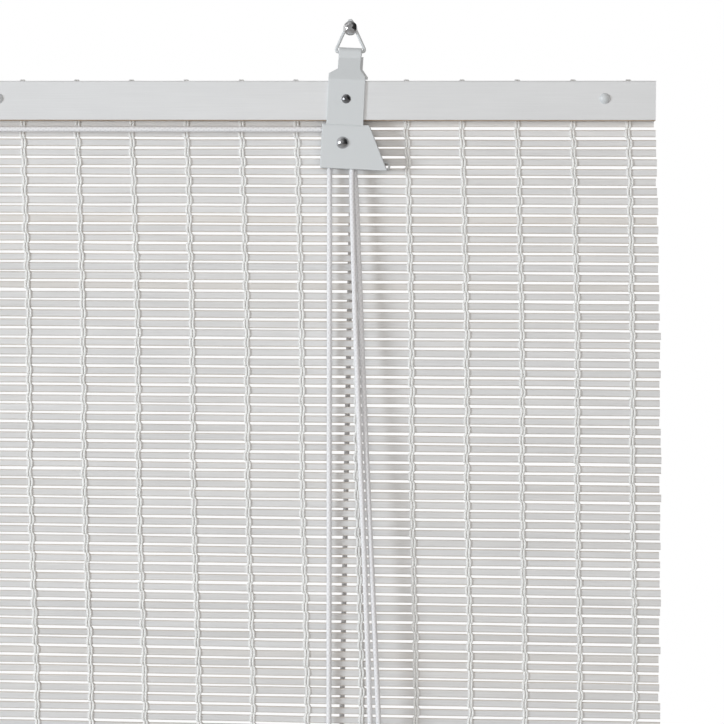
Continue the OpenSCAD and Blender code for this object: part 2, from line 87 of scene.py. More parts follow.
# Routes of the two pull cords from the lock's rivet, which repeat the part's source in metres
FROM_PIN = np.array((PULLEY_AT[0], 0, 0))
PULL_1 = FROM_PIN + np.array([
    (6.2, -15.3, -53), (5.8, -15.5, -58), (5.3, -15.8, -65), (6.2, -16.2, -78),
    (7.1, -16.8, -100), (8.2, -17.7, -125), (9.2, -18.6, -150), (11.5, -20.4, -200),
    (14, -22, -250), (17.1, -23.4, -315), (19.2, -24, -380), (20.5, -24, -450),
    (21, -24, -520), (21.2, -24, -590), (21.2, -24, -625), (21.2, -24, -648),
]) * MM
PULL_2 = FROM_PIN + np.array([
    (6.2, -17.9, -53), (5.2, -18, -58), (4.2, -18.2, -65), (4.3, -18.6, -78),
    (4.9, -19.2, -100), (5.7, -20, -125), (6.7, -20.8, -150), (8.6, -22, -200),
    (10.8, -23, -250), (13.3, -23.8, -315), (15.4, -24, -380), (16.9, -24, -450),
    (17.9, -24, -520), (18.4, -24, -590), (18.6, -24, -625), (18.6, -24, -648),
]) * MM


class BlindMat(bpy.types.PropertyGroup):
    """Sizes of the slats, threads and roll."""

    pitch: bpy.props.FloatProperty(
        name="Slat pitch", description="Distance from one slat to the next",
        default=4.4 * MM, unit="LENGTH")
    slat_h: bpy.props.FloatProperty(
        name="Slat height", description="Height of a slat", default=3.3 * MM, unit="LENGTH")
    rows: bpy.props.IntProperty(
        name="Flat slats", description="Slats that hang flat", default=120)
    rolled: bpy.props.IntProperty(
        name="Rolled slats", description="Slats wound into the roll", default=84)
    turn_pitch: bpy.props.FloatProperty(
        name="Turn pitch", description="Growth of the roll in one turn",
        default=2.6 * MM, unit="LENGTH")
    warps: bpy.props.IntProperty(
        name="Warps", description="Pairs of warp threads across the blind", default=24)
    warp_margin: bpy.props.FloatProperty(
        name="Warp margin", description="From a slat's end to the outermost pair",
        default=10.5 * MM, unit="LENGTH")
    thread_w: bpy.props.FloatProperty(
        name="Thread width", description="Width of one thread", default=1.35 * MM, unit="LENGTH")
    lean: bpy.props.FloatProperty(
        name="Warp lean", description="Side shift of the threads far below the rail",
        default=5.1 * MM, unit="LENGTH")
    tilt: bpy.props.FloatProperty(
        name="Slat tilt", description="Greatest slope of the slats, down to the right",
        default=0.0085)
    drift: bpy.props.FloatProperty(
        name="Slat drift", description="Side shift of the slats far below the rail",
        default=5.3 * MM, unit="LENGTH")
    seed: bpy.props.IntProperty(name="Seed", description="Seed of the slats' unevenness", default=7)


class BlindCords(bpy.types.PropertyGroup):
    """Sizes of the cords."""

    radius: bpy.props.FloatProperty(
        name="Cord radius", description="Radius of every cord", default=1.2 * MM, unit="LENGTH")
    wrap_r: bpy.props.FloatProperty(
        name="Wrap radius", description="Radius of a cord's middle on a pulley",
        default=6.2 * MM, unit="LENGTH")
    beside: bpy.props.FloatProperty(
        name="Side by side", description="From a pulley's middle to each of its two cords",
        default=1.3 * MM, unit="LENGTH")
    loop_turn: bpy.props.FloatProperty(
        name="Loop turn", description="Degrees of the loop under the roll", default=183.95)
    lift: bpy.props.FloatProperty(
        name="Lift", description="How far the roll rises", default=0.46, unit="LENGTH")


class BlindColours(bpy.types.PropertyGroup):
    """Colours of the painted, metal and woven surfaces."""

    paint: bpy.props.FloatVectorProperty(
        name="Slat paint", description="White paint on the slats",
        default=(0.70, 0.70, 0.705), subtype="COLOR", size=3)
    rail: bpy.props.FloatVectorProperty(
        name="Rail paint", description="White paint on the battens",
        default=(0.70, 0.705, 0.715), subtype="COLOR", size=3)
    sheet: bpy.props.FloatVectorProperty(
        name="Sheet paint", description="Cool white paint on the folded sheet",
        default=(0.615, 0.637, 0.652), subtype="COLOR", size=3)
    thread: bpy.props.FloatVectorProperty(
        name="Thread", description="Off-white cotton of the warps",
        default=(0.85, 0.85, 0.84), subtype="COLOR", size=3)
    cord: bpy.props.FloatVectorProperty(
        name="Cord", description="Braided cord",
        default=(0.80, 0.80, 0.82), subtype="COLOR", size=3)
    wood: bpy.props.FloatVectorProperty(
        name="Raw wood", description="Unpainted wood of the rod and end grain",
        default=(0.62, 0.50, 0.34), subtype="COLOR", size=3)


# Mesh helpers: every new piece is a set of swept grids, made as whole arrays


def grid_faces(count, rings, sides):
    """Quads that join ring to ring on count tubes, each of rings rings with sides points."""
    tube, ring, side = np.meshgrid(
        np.arange(count), np.arange(rings - 1), np.arange(sides), indexing="ij")
    base = tube * rings * sides
    here, after = base + ring * sides, base + (ring + 1) * sides
    turn = (side + 1) % sides
    return np.stack([here + side, here + turn, after + turn, after + side], axis=-1).reshape(-1, 4)


def cap_faces(count, rings, sides):
    """The first and last ring of each tube as one face each, facing outwards."""
    base = np.arange(count)[:, None] * rings * sides
    first = base + np.arange(sides)[::-1]
    last = base + (rings - 1) * sides + np.arange(sides)
    return np.concatenate([first, last])


def mesh_object(name, points, faces_lists, materials, smooth=True, values=None, uv=None):
    """One object from points (n, 3) and arrays of faces, one array for each material."""
    mesh = bpy.data.meshes.new(name)
    points = np.asarray(points, dtype=np.float32).reshape(-1, 3)
    mesh.vertices.add(len(points))
    mesh.vertices.foreach_set("co", points.ravel())
    totals = np.concatenate([np.full(len(f), f.shape[1]) for f in faces_lists])
    corners = np.concatenate([f.ravel() for f in faces_lists]).astype(np.int32)
    index = np.concatenate([np.full(len(f), k) for k, f in enumerate(faces_lists)])
    mesh.loops.add(len(corners))
    mesh.loops.foreach_set("vertex_index", corners)
    mesh.polygons.add(len(totals))
    mesh.polygons.foreach_set("loop_start", (np.cumsum(totals) - totals).astype(np.int32))
    mesh.polygons.foreach_set("loop_total", totals.astype(np.int32))
    mesh.polygons.foreach_set("material_index", index.astype(np.int32))
    mesh.polygons.foreach_set("use_smooth", np.full(len(totals), smooth))
    for key, numbers in (values or {}).items():
        layer = mesh.attributes.new(key, "FLOAT", "POINT")
        layer.data.foreach_set("value", np.asarray(numbers, dtype=np.float32).ravel())
    if uv is not None:
        layer = mesh.uv_layers.new(name="UVMap")
        layer.data.foreach_set("uv", np.asarray(uv, dtype=np.float32)[corners].ravel())
    for material in materials:
        mesh.materials.append(material)
    mesh.update(calc_edges=True)
    mesh.validate()
    piece = bpy.data.objects.new(name, mesh)
    bpy.context.scene.collection.objects.link(piece)
    return piece


def place(s, off, turn_pitch):
    """Y and Z of the mat at the length s from its top, stood out by off towards the room.

    Down to the roll's middle the mat is a straight line. From there it is a spiral whose radius
    shrinks by one turn pitch a turn, so the angle solves the spiral's length for s.
    """
    wound = np.maximum(s - FLAT_LEN, 0)
    root = np.sqrt(np.maximum(TURN_OUT ** 2 - wound * turn_pitch / math.pi, 1e-9))
    angle = 2 * math.pi * (TURN_OUT - root) / turn_pitch
    radius = TURN_OUT - turn_pitch * angle / (2 * math.pi) + off
    y_roll, z_roll = ROLL_Y - radius * np.cos(angle), ROLL_Z - radius * np.sin(angle)
    flat = s <= FLAT_LEN
    return np.where(flat, MAT_Y - off, y_roll), np.where(flat, MAT_HIGH[2] - s, z_roll)


def sag(s, x, slope):
    """Drop at the length s and the place x: the slats tilt more and more, down to the right.

    The tilt grows evenly from the rail to two thirds of the flat length and is gone at the roll.
    """
    share = s / FLAT_LEN
    grown = np.clip(np.minimum(share / 0.66, (1 - share) / 0.34), 0, 1)
    return -slope * grown * (x - 0.151)


def side_shift(s, far, settle=0.11):
    """Side shift at the length s: nothing at the rail, easing to far below it."""
    below = np.maximum(s - (MAT_HIGH[2] - RAIL_LOW[2]), 0)
    return far * (1 - np.exp(-below / settle))


def smooth_route(points, step):
    """Points about step apart on the Catmull-Rom curve through the given points."""
    first, last = 2 * points[0] - points[1], 2 * points[-1] - points[-2]
    ends = np.vstack([first, points, last])
    out = []
    for a, b, c, d in zip(ends, ends[1:], ends[2:], ends[3:]):
        count = max(2, int(np.linalg.norm(c - b) / step))
        t = np.linspace(0, 1, count, endpoint=False)[:, None]
        out.append(0.5 * (2 * b + (c - a) * t + (2 * a - 5 * b + 4 * c - d) * t ** 2
                          + (3 * b - a - 3 * c + d) * t ** 3))
    return np.vstack(out + [points[-1:]])


def tube_points(path, radius, sides=12):
    """Rings round a path, with the frame carried from ring to ring so that it doesn't twist."""
    tangent = np.gradient(path, axis=0)
    tangent /= np.linalg.norm(tangent, axis=1)[:, None]
    start = np.cross(tangent[0], (0, 1, 0) if abs(tangent[0][1]) < 0.9 else (1, 0, 0))
    across = [start / np.linalg.norm(start)]
    for t in tangent[1:]:
        side = across[-1] - t * across[-1].dot(t)
        across.append(side / np.linalg.norm(side))
    across = np.array(across)
    other = np.cross(tangent, across)
    angle = 2 * math.pi * np.arange(sides) / sides
    return (path[:, None, :] + radius * (np.cos(angle)[None, :, None] * across[:, None, :]
                                         + np.sin(angle)[None, :, None] * other[:, None, :]))


def cord_object(name, path, radius, material, sides=12):
    """A closed tube along a path, with U once round it and V along it in millimetres."""
    rings = tube_points(path, radius, sides)
    run = np.concatenate([[0], np.cumsum(np.linalg.norm(np.diff(path, axis=0), axis=1))]) / MM
    uv = np.stack(np.broadcast_arrays(np.arange(sides)[None, :] / sides, run[:, None]), axis=-1)
    faces = [grid_faces(1, len(path), sides)[:, ::-1], cap_faces(1, len(path), sides)[:, ::-1]]
    piece = mesh_object(name, rings, faces, [material, material], uv=uv.reshape(-1, 2))
    return piece


# Materials: procedural only, from object coordinates, UV maps and attributes


def new_group(name, inputs, outputs):
    """An empty shader node group with the given sockets, each a (name, type, default)."""
    group = bpy.data.node_groups.new(name, "ShaderNodeTree")
    for label, kind, default in inputs:
        socket = group.interface.new_socket(name=label, in_out="INPUT", socket_type=kind)
        socket.default_value = default
    for label, kind in outputs:
        group.interface.new_socket(name=label, in_out="OUTPUT", socket_type=kind)
    return group, group.nodes.new("NodeGroupInput"), group.nodes.new("NodeGroupOutput")


def math_node(tree, operation, first, second=None, third=None):
    """A Math node with sockets or numbers wired to its inputs; gives its output socket."""
    node = tree.nodes.new("ShaderNodeMath")
    node.operation = operation
    for slot, value in enumerate((first, second, third)):
        if value is None:
            continue
        if isinstance(value, (int, float)):
            node.inputs[slot].default_value = value
        else:
            tree.links.new(value, node.inputs[slot])
    return node.outputs[0]


def noise_node(tree, vector, scale, detail=2.0, stretch=(1, 1, 1)):
    """Noise read at a vector times stretch; gives its value socket, about 0.5 in the middle."""
    mapping = tree.nodes.new("ShaderNodeVectorMath")
    mapping.operation = "MULTIPLY"
    mapping.inputs[1].default_value = stretch
    tree.links.new(vector, mapping.inputs[0])
    node = tree.nodes.new("ShaderNodeTexNoise")
    node.inputs["Scale"].default_value = scale
    node.inputs["Detail"].default_value = detail
    tree.links.new(mapping.outputs[0], node.inputs["Vector"])
    return node.outputs["Fac"]


def spread(tree, value, low, high):
    """Maps 0.3 to 0.7 of a noise onto low to high; gives the output socket."""
    node = tree.nodes.new("ShaderNodeMapRange")
    node.inputs["From Min"].default_value = 0.3
    node.inputs["From Max"].default_value = 0.7
    node.inputs["To Min"].default_value = low
    node.inputs["To Max"].default_value = high
    tree.links.new(value, node.inputs["Value"])
    return node.outputs["Result"]


def scaled(tree, colour, factor):
    """A colour socket times a number socket."""
    node = tree.nodes.new("ShaderNodeVectorMath")
    node.operation = "SCALE"
    tree.links.new(colour, node.inputs[0])
    tree.links.new(factor, node.inputs["Scale"])
    return node.outputs[0]


def paint_group():
    """Brushed paint on grain: long streaks along X, fine ones on them, faint soiled clouds."""
    group, into, out = new_group(
        "Painted grain",
        [("Colour", "NodeSocketColor", (1, 1, 1, 1)), ("Streak", "NodeSocketFloat", 0.05),
         ("Cloud", "NodeSocketFloat", 0.03)],
        [("Colour", "NodeSocketColor"), ("Roughness", "NodeSocketFloat"),
         ("Height", "NodeSocketFloat")])
    where = group.nodes.new("ShaderNodeTexCoord").outputs["Object"]
    streak = noise_node(group, where, 1.0, 3.0, (38, 900, 1700))
    fine = noise_node(group, where, 1.0, 2.0, (210, 2600, 5200))
    cloud = noise_node(group, where, 1.0, 2.0, (24, 24, 90))
    shade = math_node(group, "MULTIPLY", spread(group, streak, -1, 1), into.outputs["Streak"])
    soil = math_node(group, "MULTIPLY", spread(group, cloud, -1, 1), into.outputs["Cloud"])
    factor = math_node(group, "ADD", math_node(group, "ADD", shade, soil), 1.0)
    group.links.new(scaled(group, into.outputs["Colour"], factor), out.inputs["Colour"])
    group.links.new(spread(group, fine, 0.36, 0.56), out.inputs["Roughness"])
    height = math_node(group, "MULTIPLY_ADD", fine, 0.5, streak)
    group.links.new(height, out.inputs["Height"])
    return group


def braid_group():
    """Braid on a cord: two sets of helical ridges that cross, from the UV map, with painted shade
    in the grooves.
    """
    group, into, out = new_group(
        "Braid",
        [("Colour", "NodeSocketColor", (1, 1, 1, 1)), ("Strands", "NodeSocketFloat", 4.0),
         ("Lay", "NodeSocketFloat", 0.5)],
        [("Colour", "NodeSocketColor"), ("Height", "NodeSocketFloat")])
    uv = group.nodes.new("ShaderNodeUVMap").outputs["UV"]
    parts = group.nodes.new("ShaderNodeSeparateXYZ")
    group.links.new(uv, parts.inputs[0])
    around = math_node(group, "MULTIPLY", parts.outputs["X"], into.outputs["Strands"])
    along = math_node(group, "MULTIPLY", parts.outputs["Y"], into.outputs["Lay"])
    ridges = []
    for operation in ("ADD", "SUBTRACT"):
        mixed = math_node(group, operation, around, along)
        phase = math_node(group, "MULTIPLY", mixed, 2 * math.pi)
        ridges.append(math_node(group, "SINE", phase))
    height = math_node(group, "MULTIPLY_ADD", math_node(group, "MAXIMUM", *ridges), 0.5, 0.5)
    # Painted shade: the colour is darker in the grooves between the strands
    shade = math_node(group, "MULTIPLY_ADD", height, 0.12, 0.90)
    group.links.new(scaled(group, into.outputs["Colour"], shade), out.inputs["Colour"])
    group.links.new(height, out.inputs["Height"])
    return group


def new_material(name, roughness=0.5, metallic=0.0):
    """A material with one Principled BSDF; gives the material, its tree and the shader."""
    material = bpy.data.materials.new(name)
    material.use_nodes = True
    shader = material.node_tree.nodes["Principled BSDF"]
    shader.inputs["Roughness"].default_value = roughness
    shader.inputs["Metallic"].default_value = metallic
    return material, material.node_tree, shader


def use_group(tree, group, **values):
    """A group node in a tree with its input values set."""
    node = tree.nodes.new("ShaderNodeGroup")
    node.node_tree = group
    for label, value in values.items():
        node.inputs[label].default_value = value
    return node


def add_bump(tree, shader, height, distance, strength=0.6):
    """Feeds a height socket to a shader's normal through a Bump node."""
    bump = tree.nodes.new("ShaderNodeBump")
    bump.inputs["Distance"].default_value = distance
    bump.inputs["Strength"].default_value = strength
    tree.links.new(height, bump.inputs["Height"])
    tree.links.new(bump.outputs["Normal"], shader.inputs["Normal"])


def painted(name, colour, streak, cloud, bump, tinted=False):
    """White paint on bamboo or wood; tinted slats also read their shade and warmth attributes,
    which hold random tone and painted light and shade.
    """
    material, tree, shader = new_material(name)
    node = use_group(tree, bpy.data.node_groups["Painted grain"],
                     Colour=(*colour, 1), Streak=streak, Cloud=cloud)
    result = node.outputs["Colour"]
    if tinted:
        shade = tree.nodes.new("ShaderNodeAttribute")
        shade.attribute_name = "shade"
        result = scaled(tree, result, shade.outputs["Fac"])
        warm = tree.nodes.new("ShaderNodeAttribute")
        warm.attribute_name = "warm"
        mix = tree.nodes.new("ShaderNodeMix")
        mix.data_type, mix.blend_type = "RGBA", "MULTIPLY"
        mix.inputs[7].default_value = (1.0, 0.91, 0.80, 1)
        tree.links.new(warm.outputs["Fac"], mix.inputs[0])
        tree.links.new(result, mix.inputs[6])
        result = mix.outputs[2]
    tree.links.new(result, shader.inputs["Base Color"])
    tree.links.new(node.outputs["Roughness"], shader.inputs["Roughness"])
    add_bump(tree, shader, node.outputs["Height"], bump)
    return material


def underside_shade(material, level, tan):
    """Painted shade on a batten's underside: where Z is under a level, its colour is tan."""
    tree = material.node_tree
    shader = next(node for node in tree.nodes if node.type == "BSDF_PRINCIPLED")
    where = tree.nodes.new("ShaderNodeTexCoord").outputs["Object"]
    parts = tree.nodes.new("ShaderNodeSeparateXYZ")
    tree.links.new(where, parts.inputs[0])
    below = math_node(tree, "LESS_THAN", parts.outputs["Z"], level)
    mix = tree.nodes.new("ShaderNodeMix")
    mix.data_type = "RGBA"
    mix.inputs[7].default_value = (*tan, 1)
    paint = shader.inputs["Base Color"].links[0].from_socket
    tree.links.new(below, mix.inputs[0])
    tree.links.new(paint, mix.inputs[6])
    tree.links.new(mix.outputs[2], shader.inputs["Base Color"])


def plain_metal(name, colour, roughness, streak):
    """Bare metal with faint wear in its gloss."""
    material, tree, shader = new_material(name, roughness, 1.0)
    shader.inputs["Base Color"].default_value = (*colour, 1)
    where = tree.nodes.new("ShaderNodeTexCoord").outputs["Object"]
    wear = noise_node(tree, where, 900.0, 3.0)
    tree.links.new(spread(tree, wear, roughness - streak, roughness + streak),
                   shader.inputs["Roughness"])
    return material


def enamel(name, colour, roughness, ripple, edge=0.0):
    """Sprayed paint or moulded plastic: smooth, a slight orange peel, edges rounded by edge."""
    material, tree, shader = new_material(name, roughness)
    shader.inputs["Base Color"].default_value = (*colour, 1)
    where = tree.nodes.new("ShaderNodeTexCoord").outputs["Object"]
    add_bump(tree, shader, noise_node(tree, where, 700.0, 2.0), ripple, 0.4)
    soft = noise_node(tree, where, 160.0, 2.0)
    tree.links.new(spread(tree, soft, roughness - 0.06, roughness + 0.06),
                   shader.inputs["Roughness"])
    if edge:
        rounded = tree.nodes.new("ShaderNodeBevel")
        rounded.samples = 6
        rounded.inputs["Radius"].default_value = edge
        bump = shader.inputs["Normal"].links[0].from_node
        tree.links.new(rounded.outputs["Normal"], bump.inputs["Normal"])
    return material


def spun(name, colour, strands, lay, bump):
    """Twisted or braided yarn, soft and matt."""
    material, tree, shader = new_material(name, 0.85)
    node = use_group(tree, bpy.data.node_groups["Braid"],
                     Colour=(*colour, 1), Strands=strands, Lay=lay)
    tree.links.new(node.outputs["Colour"], shader.inputs["Base Color"])
    add_bump(tree, shader, node.outputs["Height"], bump, 0.7)
    return material


class BLIND_OT_materials(bpy.types.Operator):
    """Makes the node groups and materials, and gives them to the CAD pieces that stay."""

    bl_idname = "blind.materials"
    bl_label = "Make materials"

    def execute(self, context):
        colours = context.scene.blind_colours
        paint_group()
        braid_group()
        paint, rail = tuple(colours.paint), tuple(colours.rail)
        painted("Painted bamboo", paint, 0.045, 0.03, 0.00012, tinted=True)
        painted("Slat end", tuple(0.62 * c for c in paint), 0.10, 0.08, 0.0003)
        made = {
            "rail": painted("Rail paint", rail, 0.018, 0.02, 0.00004),
            "sheet": enamel("Sheet paint", tuple(colours.sheet), 0.34, 0.00003, 0.7 * MM),
            "wire": enamel("Wire paint", tuple(0.98 * c for c in colours.sheet), 0.38, 0.00003),
            "chrome": plain_metal("Bright plate", (0.78, 0.78, 0.79), 0.14, 0.04),
            "pin": plain_metal("Rivet plate", (0.55, 0.55, 0.56), 0.2, 0.05),
            "steel": plain_metal("Plain steel", (0.46, 0.46, 0.46), 0.34, 0.08),
            "dark": plain_metal("Dark screw", (0.30, 0.30, 0.31), 0.30, 0.08),
            "wood": painted("Raw wood", tuple(colours.wood), 0.16, 0.08, 0.0001),
            "plastic": enamel("White plastic", (0.76, 0.76, 0.75), 0.30, 0.00002),
            "cord": spun("Braided cord", tuple(colours.cord), 4.0, 0.42, 0.0001),
            "thread": spun("Warp yarn", tuple(colours.thread), 2.0, 0.9, 0.0001),
        }
        # Painted shade: the rail's underside is coloured tan
        underside_shade(made["rail"], RAIL_LOW[2] + 0.25 * MM, (0.50, 0.36, 0.24))
        wears = {
            "rail": ("front_batten", "back_batten"),
            "sheet": ("lock_bracket", "guide_bracket"),
            "wire": ("hanger_ring_right", "hanger_ring_left", "rail_rivets"),
            "chrome": ("wall_screw_right", "wall_screw_left"),
            "pin": ("lock_pin", "guide_pin"),
            "steel": ("lock_pulley", "guide_pulley", "jam_roller", "cord_staple_right",
                      "cord_staple_left"),
            "dark": ("lock_screw", "guide_screw"),
            "wood": ("bottom_rod",),
            "plastic": ("cord_pull",),
        }
        for key, nodes in wears.items():
            for node in nodes:
                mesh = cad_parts[node].data
                mesh.materials.clear()
                mesh.materials.append(made[key])
        return {"FINISHED"}


# The slats


def slat_section(height, thick):
    """A slat's outline in depth and height: flat face, rounded edges, 10 points."""
    h, t = height / 2, thick / 2
    return np.array([
        (t, -0.62 * h), (t, 0.62 * h), (0.72 * t, 0.90 * h), (0.15 * t, h), (-0.45 * t, 0.94 * h),
        (-t, 0.66 * h), (-t, -0.66 * h), (-0.45 * t, -0.94 * h), (0.15 * t, -h),
        (0.72 * t, -0.90 * h)])


def slat_grid(settings, first, count, seed):
    """Points, shades and warmths of count slats from the slat number first; the shades and warmths
    hold random tone and also painted light and shade.

    Each slat is its outline swept along X. Its height and thickness wander with two sines a
    slat, it bows by a fraction of a millimetre, its ends fall short or long by a seeded length
    and it is turned to the mat's slope where the mat is rolled.
    """
    rng = np.random.default_rng(seed)
    stations, sides = 41, 10
    number = first + np.arange(count)
    s = (number + 0.5) * settings.pitch - (settings.pitch - settings.slat_h) / 2
    share = np.linspace(-1, 1, stations)
    left = -HALF_W + rng.uniform(0, 1.1, count) * MM
    right = HALF_W - rng.uniform(0, 1.1, count) * MM
    under = (s - (MAT_HIGH[2] - RAIL_LOW[2])) / settings.pitch
    below = np.clip(under + 0.7, 0, 1)
    shift = side_shift(s, settings.drift, 0.09) + 0.8 * MM * below
    middle, half = (left + right) / 2, (right - left) / 2
    x = middle[:, None] + half[:, None] * share[None, :] + shift[:, None]
    wander = np.zeros((count, stations))
    bow = np.zeros((count, stations))
    for waves, size in ((1.3, 0.5), (3.1, 0.3), (7.7, 0.2)):
        turn = rng.uniform(0, 2 * math.pi, (2, count, 1))
        wander += size * np.sin(waves * math.pi * share + turn[0])
        bow += size * np.sin(waves * math.pi * share + turn[1])
    scale = 1 + 0.05 * wander + rng.normal(0, 0.03, count)[:, None]
    bow *= 0.2 * MM
    section = slat_section(settings.slat_h, SLAT_T)
    depth = section[None, None, :, 0] * np.ones((count, stations, 1))
    rise = section[None, None, :, 1] * scale[:, :, None] + bow[:, :, None]
    y0, z0 = place(s, 0, settings.turn_pitch)
    y1, z1 = place(s + 0.2 * MM, 0, settings.turn_pitch)
    run = np.hypot(y1 - y0, z1 - z0)
    down_y, down_z = (y1 - y0) / run, (z1 - z0) / run
    out_y, out_z = down_z, -down_y
    tilt = rng.normal(0, 0.035, count)[:, None, None]
    depth = depth + tilt * rise
    y = y0[:, None, None] + depth * out_y[:, None, None] - rise * down_y[:, None, None]
    z = z0[:, None, None] + depth * out_z[:, None, None] - rise * down_z[:, None, None]
    z = z + sag(s[:, None], x, settings.tilt)[:, :, None]
    points = np.stack(np.broadcast_arrays(x[:, :, None], y, z), axis=-1)
    # Painted shade: the slats' paint darkens evenly towards the bottom of the mat
    lower = 0.05 * np.clip(s / 0.3, 0, 1)
    shade = rng.normal(1.0, 0.018, count) - lower - 0.05 * (rng.random(count) < 0.06)
    warm = np.where(
        rng.random(count) < 0.06, rng.uniform(0.2, 0.55, count), rng.uniform(0, 0.1, count))
    # Painted light: the slat just under the rail is made lighter, standing in for light under the
    # rail
    shade = shade + 0.16 * np.exp(-(under - 0.3) ** 2)
    spread_out = np.ones((1, stations, sides))
    # Painted shade: a warm tint on each slat's rounded top and bottom edges, along the gaps
    edge_shade = np.array([0, 0, 0.6, 1, 1, 0, 0, 1, 1, 0.7])[None, None, :]
    warm = warm[:, None, None] * spread_out + edge_shade * rng.uniform(0.5, 1.3, count)[:, None, None]
    return points, shade[:, None, None] * spread_out, warm


def slat_piece(name, settings, first, count, seed):
    """One object for a run of slats, with the ends in their own material."""
    points, shade, warm = slat_grid(settings, first, count, seed)
    _, stations, sides, _ = points.shape
    faces = [grid_faces(count, stations, sides), cap_faces(count, stations, sides)]
    materials = [bpy.data.materials["Painted bamboo"], bpy.data.materials["Slat end"]]
    return mesh_object(name, points, faces, materials, smooth=False,
                       values={"shade": shade, "warm": warm})


class BLIND_OT_slats(bpy.types.Operator):
    """Makes the flat slats of the mat and the slats of the roll."""

    bl_idname = "blind.slats"
    bl_label = "Make slats"

    def execute(self, context):
        settings, cords = context.scene.blind_mat, context.scene.blind_cords
        flat = slat_piece("bamboo_slats", settings, 0, settings.rows, settings.seed)
        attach(flat, "blind")
        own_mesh(flat)
        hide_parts("slat_mat")
        rolled = slat_piece("rolled_slats", settings, settings.rows, settings.rolled,
                            settings.seed + 1)
        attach(rolled, "roll")
        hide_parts("rolled_mat")
        return {"FINISHED"}


# The warp threads


def warp_columns(settings):
    """X of the middle of each pair of threads at the rail, from the left to the right."""
    edge = HALF_W - settings.warp_margin
    return np.linspace(-edge, edge, settings.warps) - 1.2 * MM


def wander(s, column):
    """How far a column strays to the left at a length s down the mat, in metres.

    Linear between eight lengths, and across the blind between a column near the middle and one
    near the right end.
    """
    at = np.array([34, 68, 105, 142, 178, 215, 251, 280]) * MM
    near = np.interp(s, at, np.array([1.67, 2.2, 2.1, 2.7, 3.16, 2.84, 1.88, 1.28]) * MM)
    far = np.interp(s, at, np.array([0.41, 1.0, 1.0, 1.28, 1.83, 1.42, 0.64, 0.37]) * MM)
    share = np.clip((column / MM - 57) / 179, -0.3, 1.3)
    return -near - share * (far - near)


def thread_paths(settings, columns, first, count, top):
    """Middle lines of the threads on a run of slats, as (threads, rings, 3).

    A leno weave: on each slat two threads pass in front of it side by side and two behind it,
    and in each gap they cross, so a thread in front on the even slats is behind on the odd
    ones. The pair in front stands a little to the left or right of the column in turn. Five
    rings a slat follow it: the crossing, two corners, the middle and two corners again.
    """
    rng = np.random.default_rng(settings.seed + 20)
    half = settings.thread_w / 2
    out = SLAT_T / 2 + 0.42 * THREAD_T
    number = first + np.arange(count)
    spots = np.array([-0.5, -0.36, -0.14, 0.14, 0.36]) * settings.pitch
    middle = (number + 0.5) * settings.pitch - (settings.pitch - settings.slat_h) / 2
    s = (middle[:, None] + spots[None, :]).ravel()
    s = np.append(s, s[-1] + 0.14 * settings.pitch)
    side = np.append(np.tile([0, 0.78, 1, 1, 0.78], count), 0)
    even = np.append(np.repeat(np.where(number % 2 == 0, 1.0, -1.0), 5), 1.0)
    lines = []
    for column in columns:
        lean = settings.lean * (1 + 0.27 * column / HALF_W)
        jitter = np.append(np.repeat(rng.normal(0, 0.10 * MM, count), 5), 0)
        base = column + side_shift(s, lean) + wander(s, column) + jitter
        for strand in range(4):
            front = even * (1 if strand < 2 else -1)
            beside = (-1 if strand % 2 == 0 else 1) * half * 0.96
            sway = 0.5 * half * even * side
            x = base + sway + beside * np.where(side > 0, 1.0, 0.72)
            y, z = place(s, out * front * side, settings.turn_pitch)
            z = z + sag(s, x, settings.tilt)
            if top:
                z = np.where(s <= s[2], z + 0.2 * MM, z)
            lines.append(np.stack([x, y, z], axis=-1))
    return np.array(lines)


def ribbon_points(paths, wide, thick, sides=5):
    """Rings of an oval section on each path, wide along X and thick across it."""
    ahead = np.gradient(paths[:, :, 1:], axis=1)
    ahead /= np.linalg.norm(ahead, axis=2)[:, :, None] + 1e-12
    angle = 2 * math.pi * (np.arange(sides) + 0.5) / sides
    x = paths[:, :, None, 0] + wide / 2 * np.cos(angle)
    across = thick / 2 * np.sin(angle)
    y = paths[:, :, None, 1] - across * ahead[:, :, None, 1]
    z = paths[:, :, None, 2] + across * ahead[:, :, None, 0]
    return np.stack([x, y, z], axis=-1)


def thread_piece(name, settings, columns, first, count, top=False):
    """One object for the threads of some columns on a run of slats."""
    paths = thread_paths(settings, columns, first, count, top)
    points = ribbon_points(paths, settings.thread_w, 0.9 * THREAD_T)
    threads, rings, sides, _ = points.shape
    v = np.arange(rings)[None, :, None] * settings.pitch / 5 / MM
    u = np.arange(sides)[None, None, :] / sides
    uv = np.stack(np.broadcast_arrays(u, v * np.ones((threads, 1, 1))), axis=-1).reshape(-1, 2)
    faces = [grid_faces(threads, rings, sides)[:, ::-1], cap_faces(threads, rings, sides)[:, ::-1]]
    yarn = bpy.data.materials["Warp yarn"]
    piece = mesh_object(name, points, faces, [yarn, yarn], uv=uv)
    return piece


class BLIND_OT_threads(bpy.types.Operator):
    """Makes the pairs of warp threads on the flat mat and on the roll's outer turn."""

    bl_idname = "blind.threads"
    bl_label = "Make threads"

    def execute(self, context):
        settings, cords = context.scene.blind_mat, context.scene.blind_cords
        columns = warp_columns(settings)
        for part, some in enumerate(np.array_split(columns, 4)):
            piece = thread_piece(f"warp_threads_{part + 1}", settings, some, 0, settings.rows, True)
            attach(piece, "blind")
            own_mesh(piece)
            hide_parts("warp_threads")
        outer = min(29, settings.rolled)
        piece = thread_piece("roll_threads", settings, columns, settings.rows, outer)
        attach(piece, "roll")
        return {"FINISHED"}


# The cords


def arc(middle, radius, start, stop, y, count=14):
    """An arc in the plane of the wall at the depth y, from start to stop degrees."""
    turn = np.radians(np.linspace(start, stop, count))
    return np.stack([middle[0] + radius * np.cos(turn), np.full(count, y),
                     middle[2] + radius * np.sin(turn)], axis=-1)


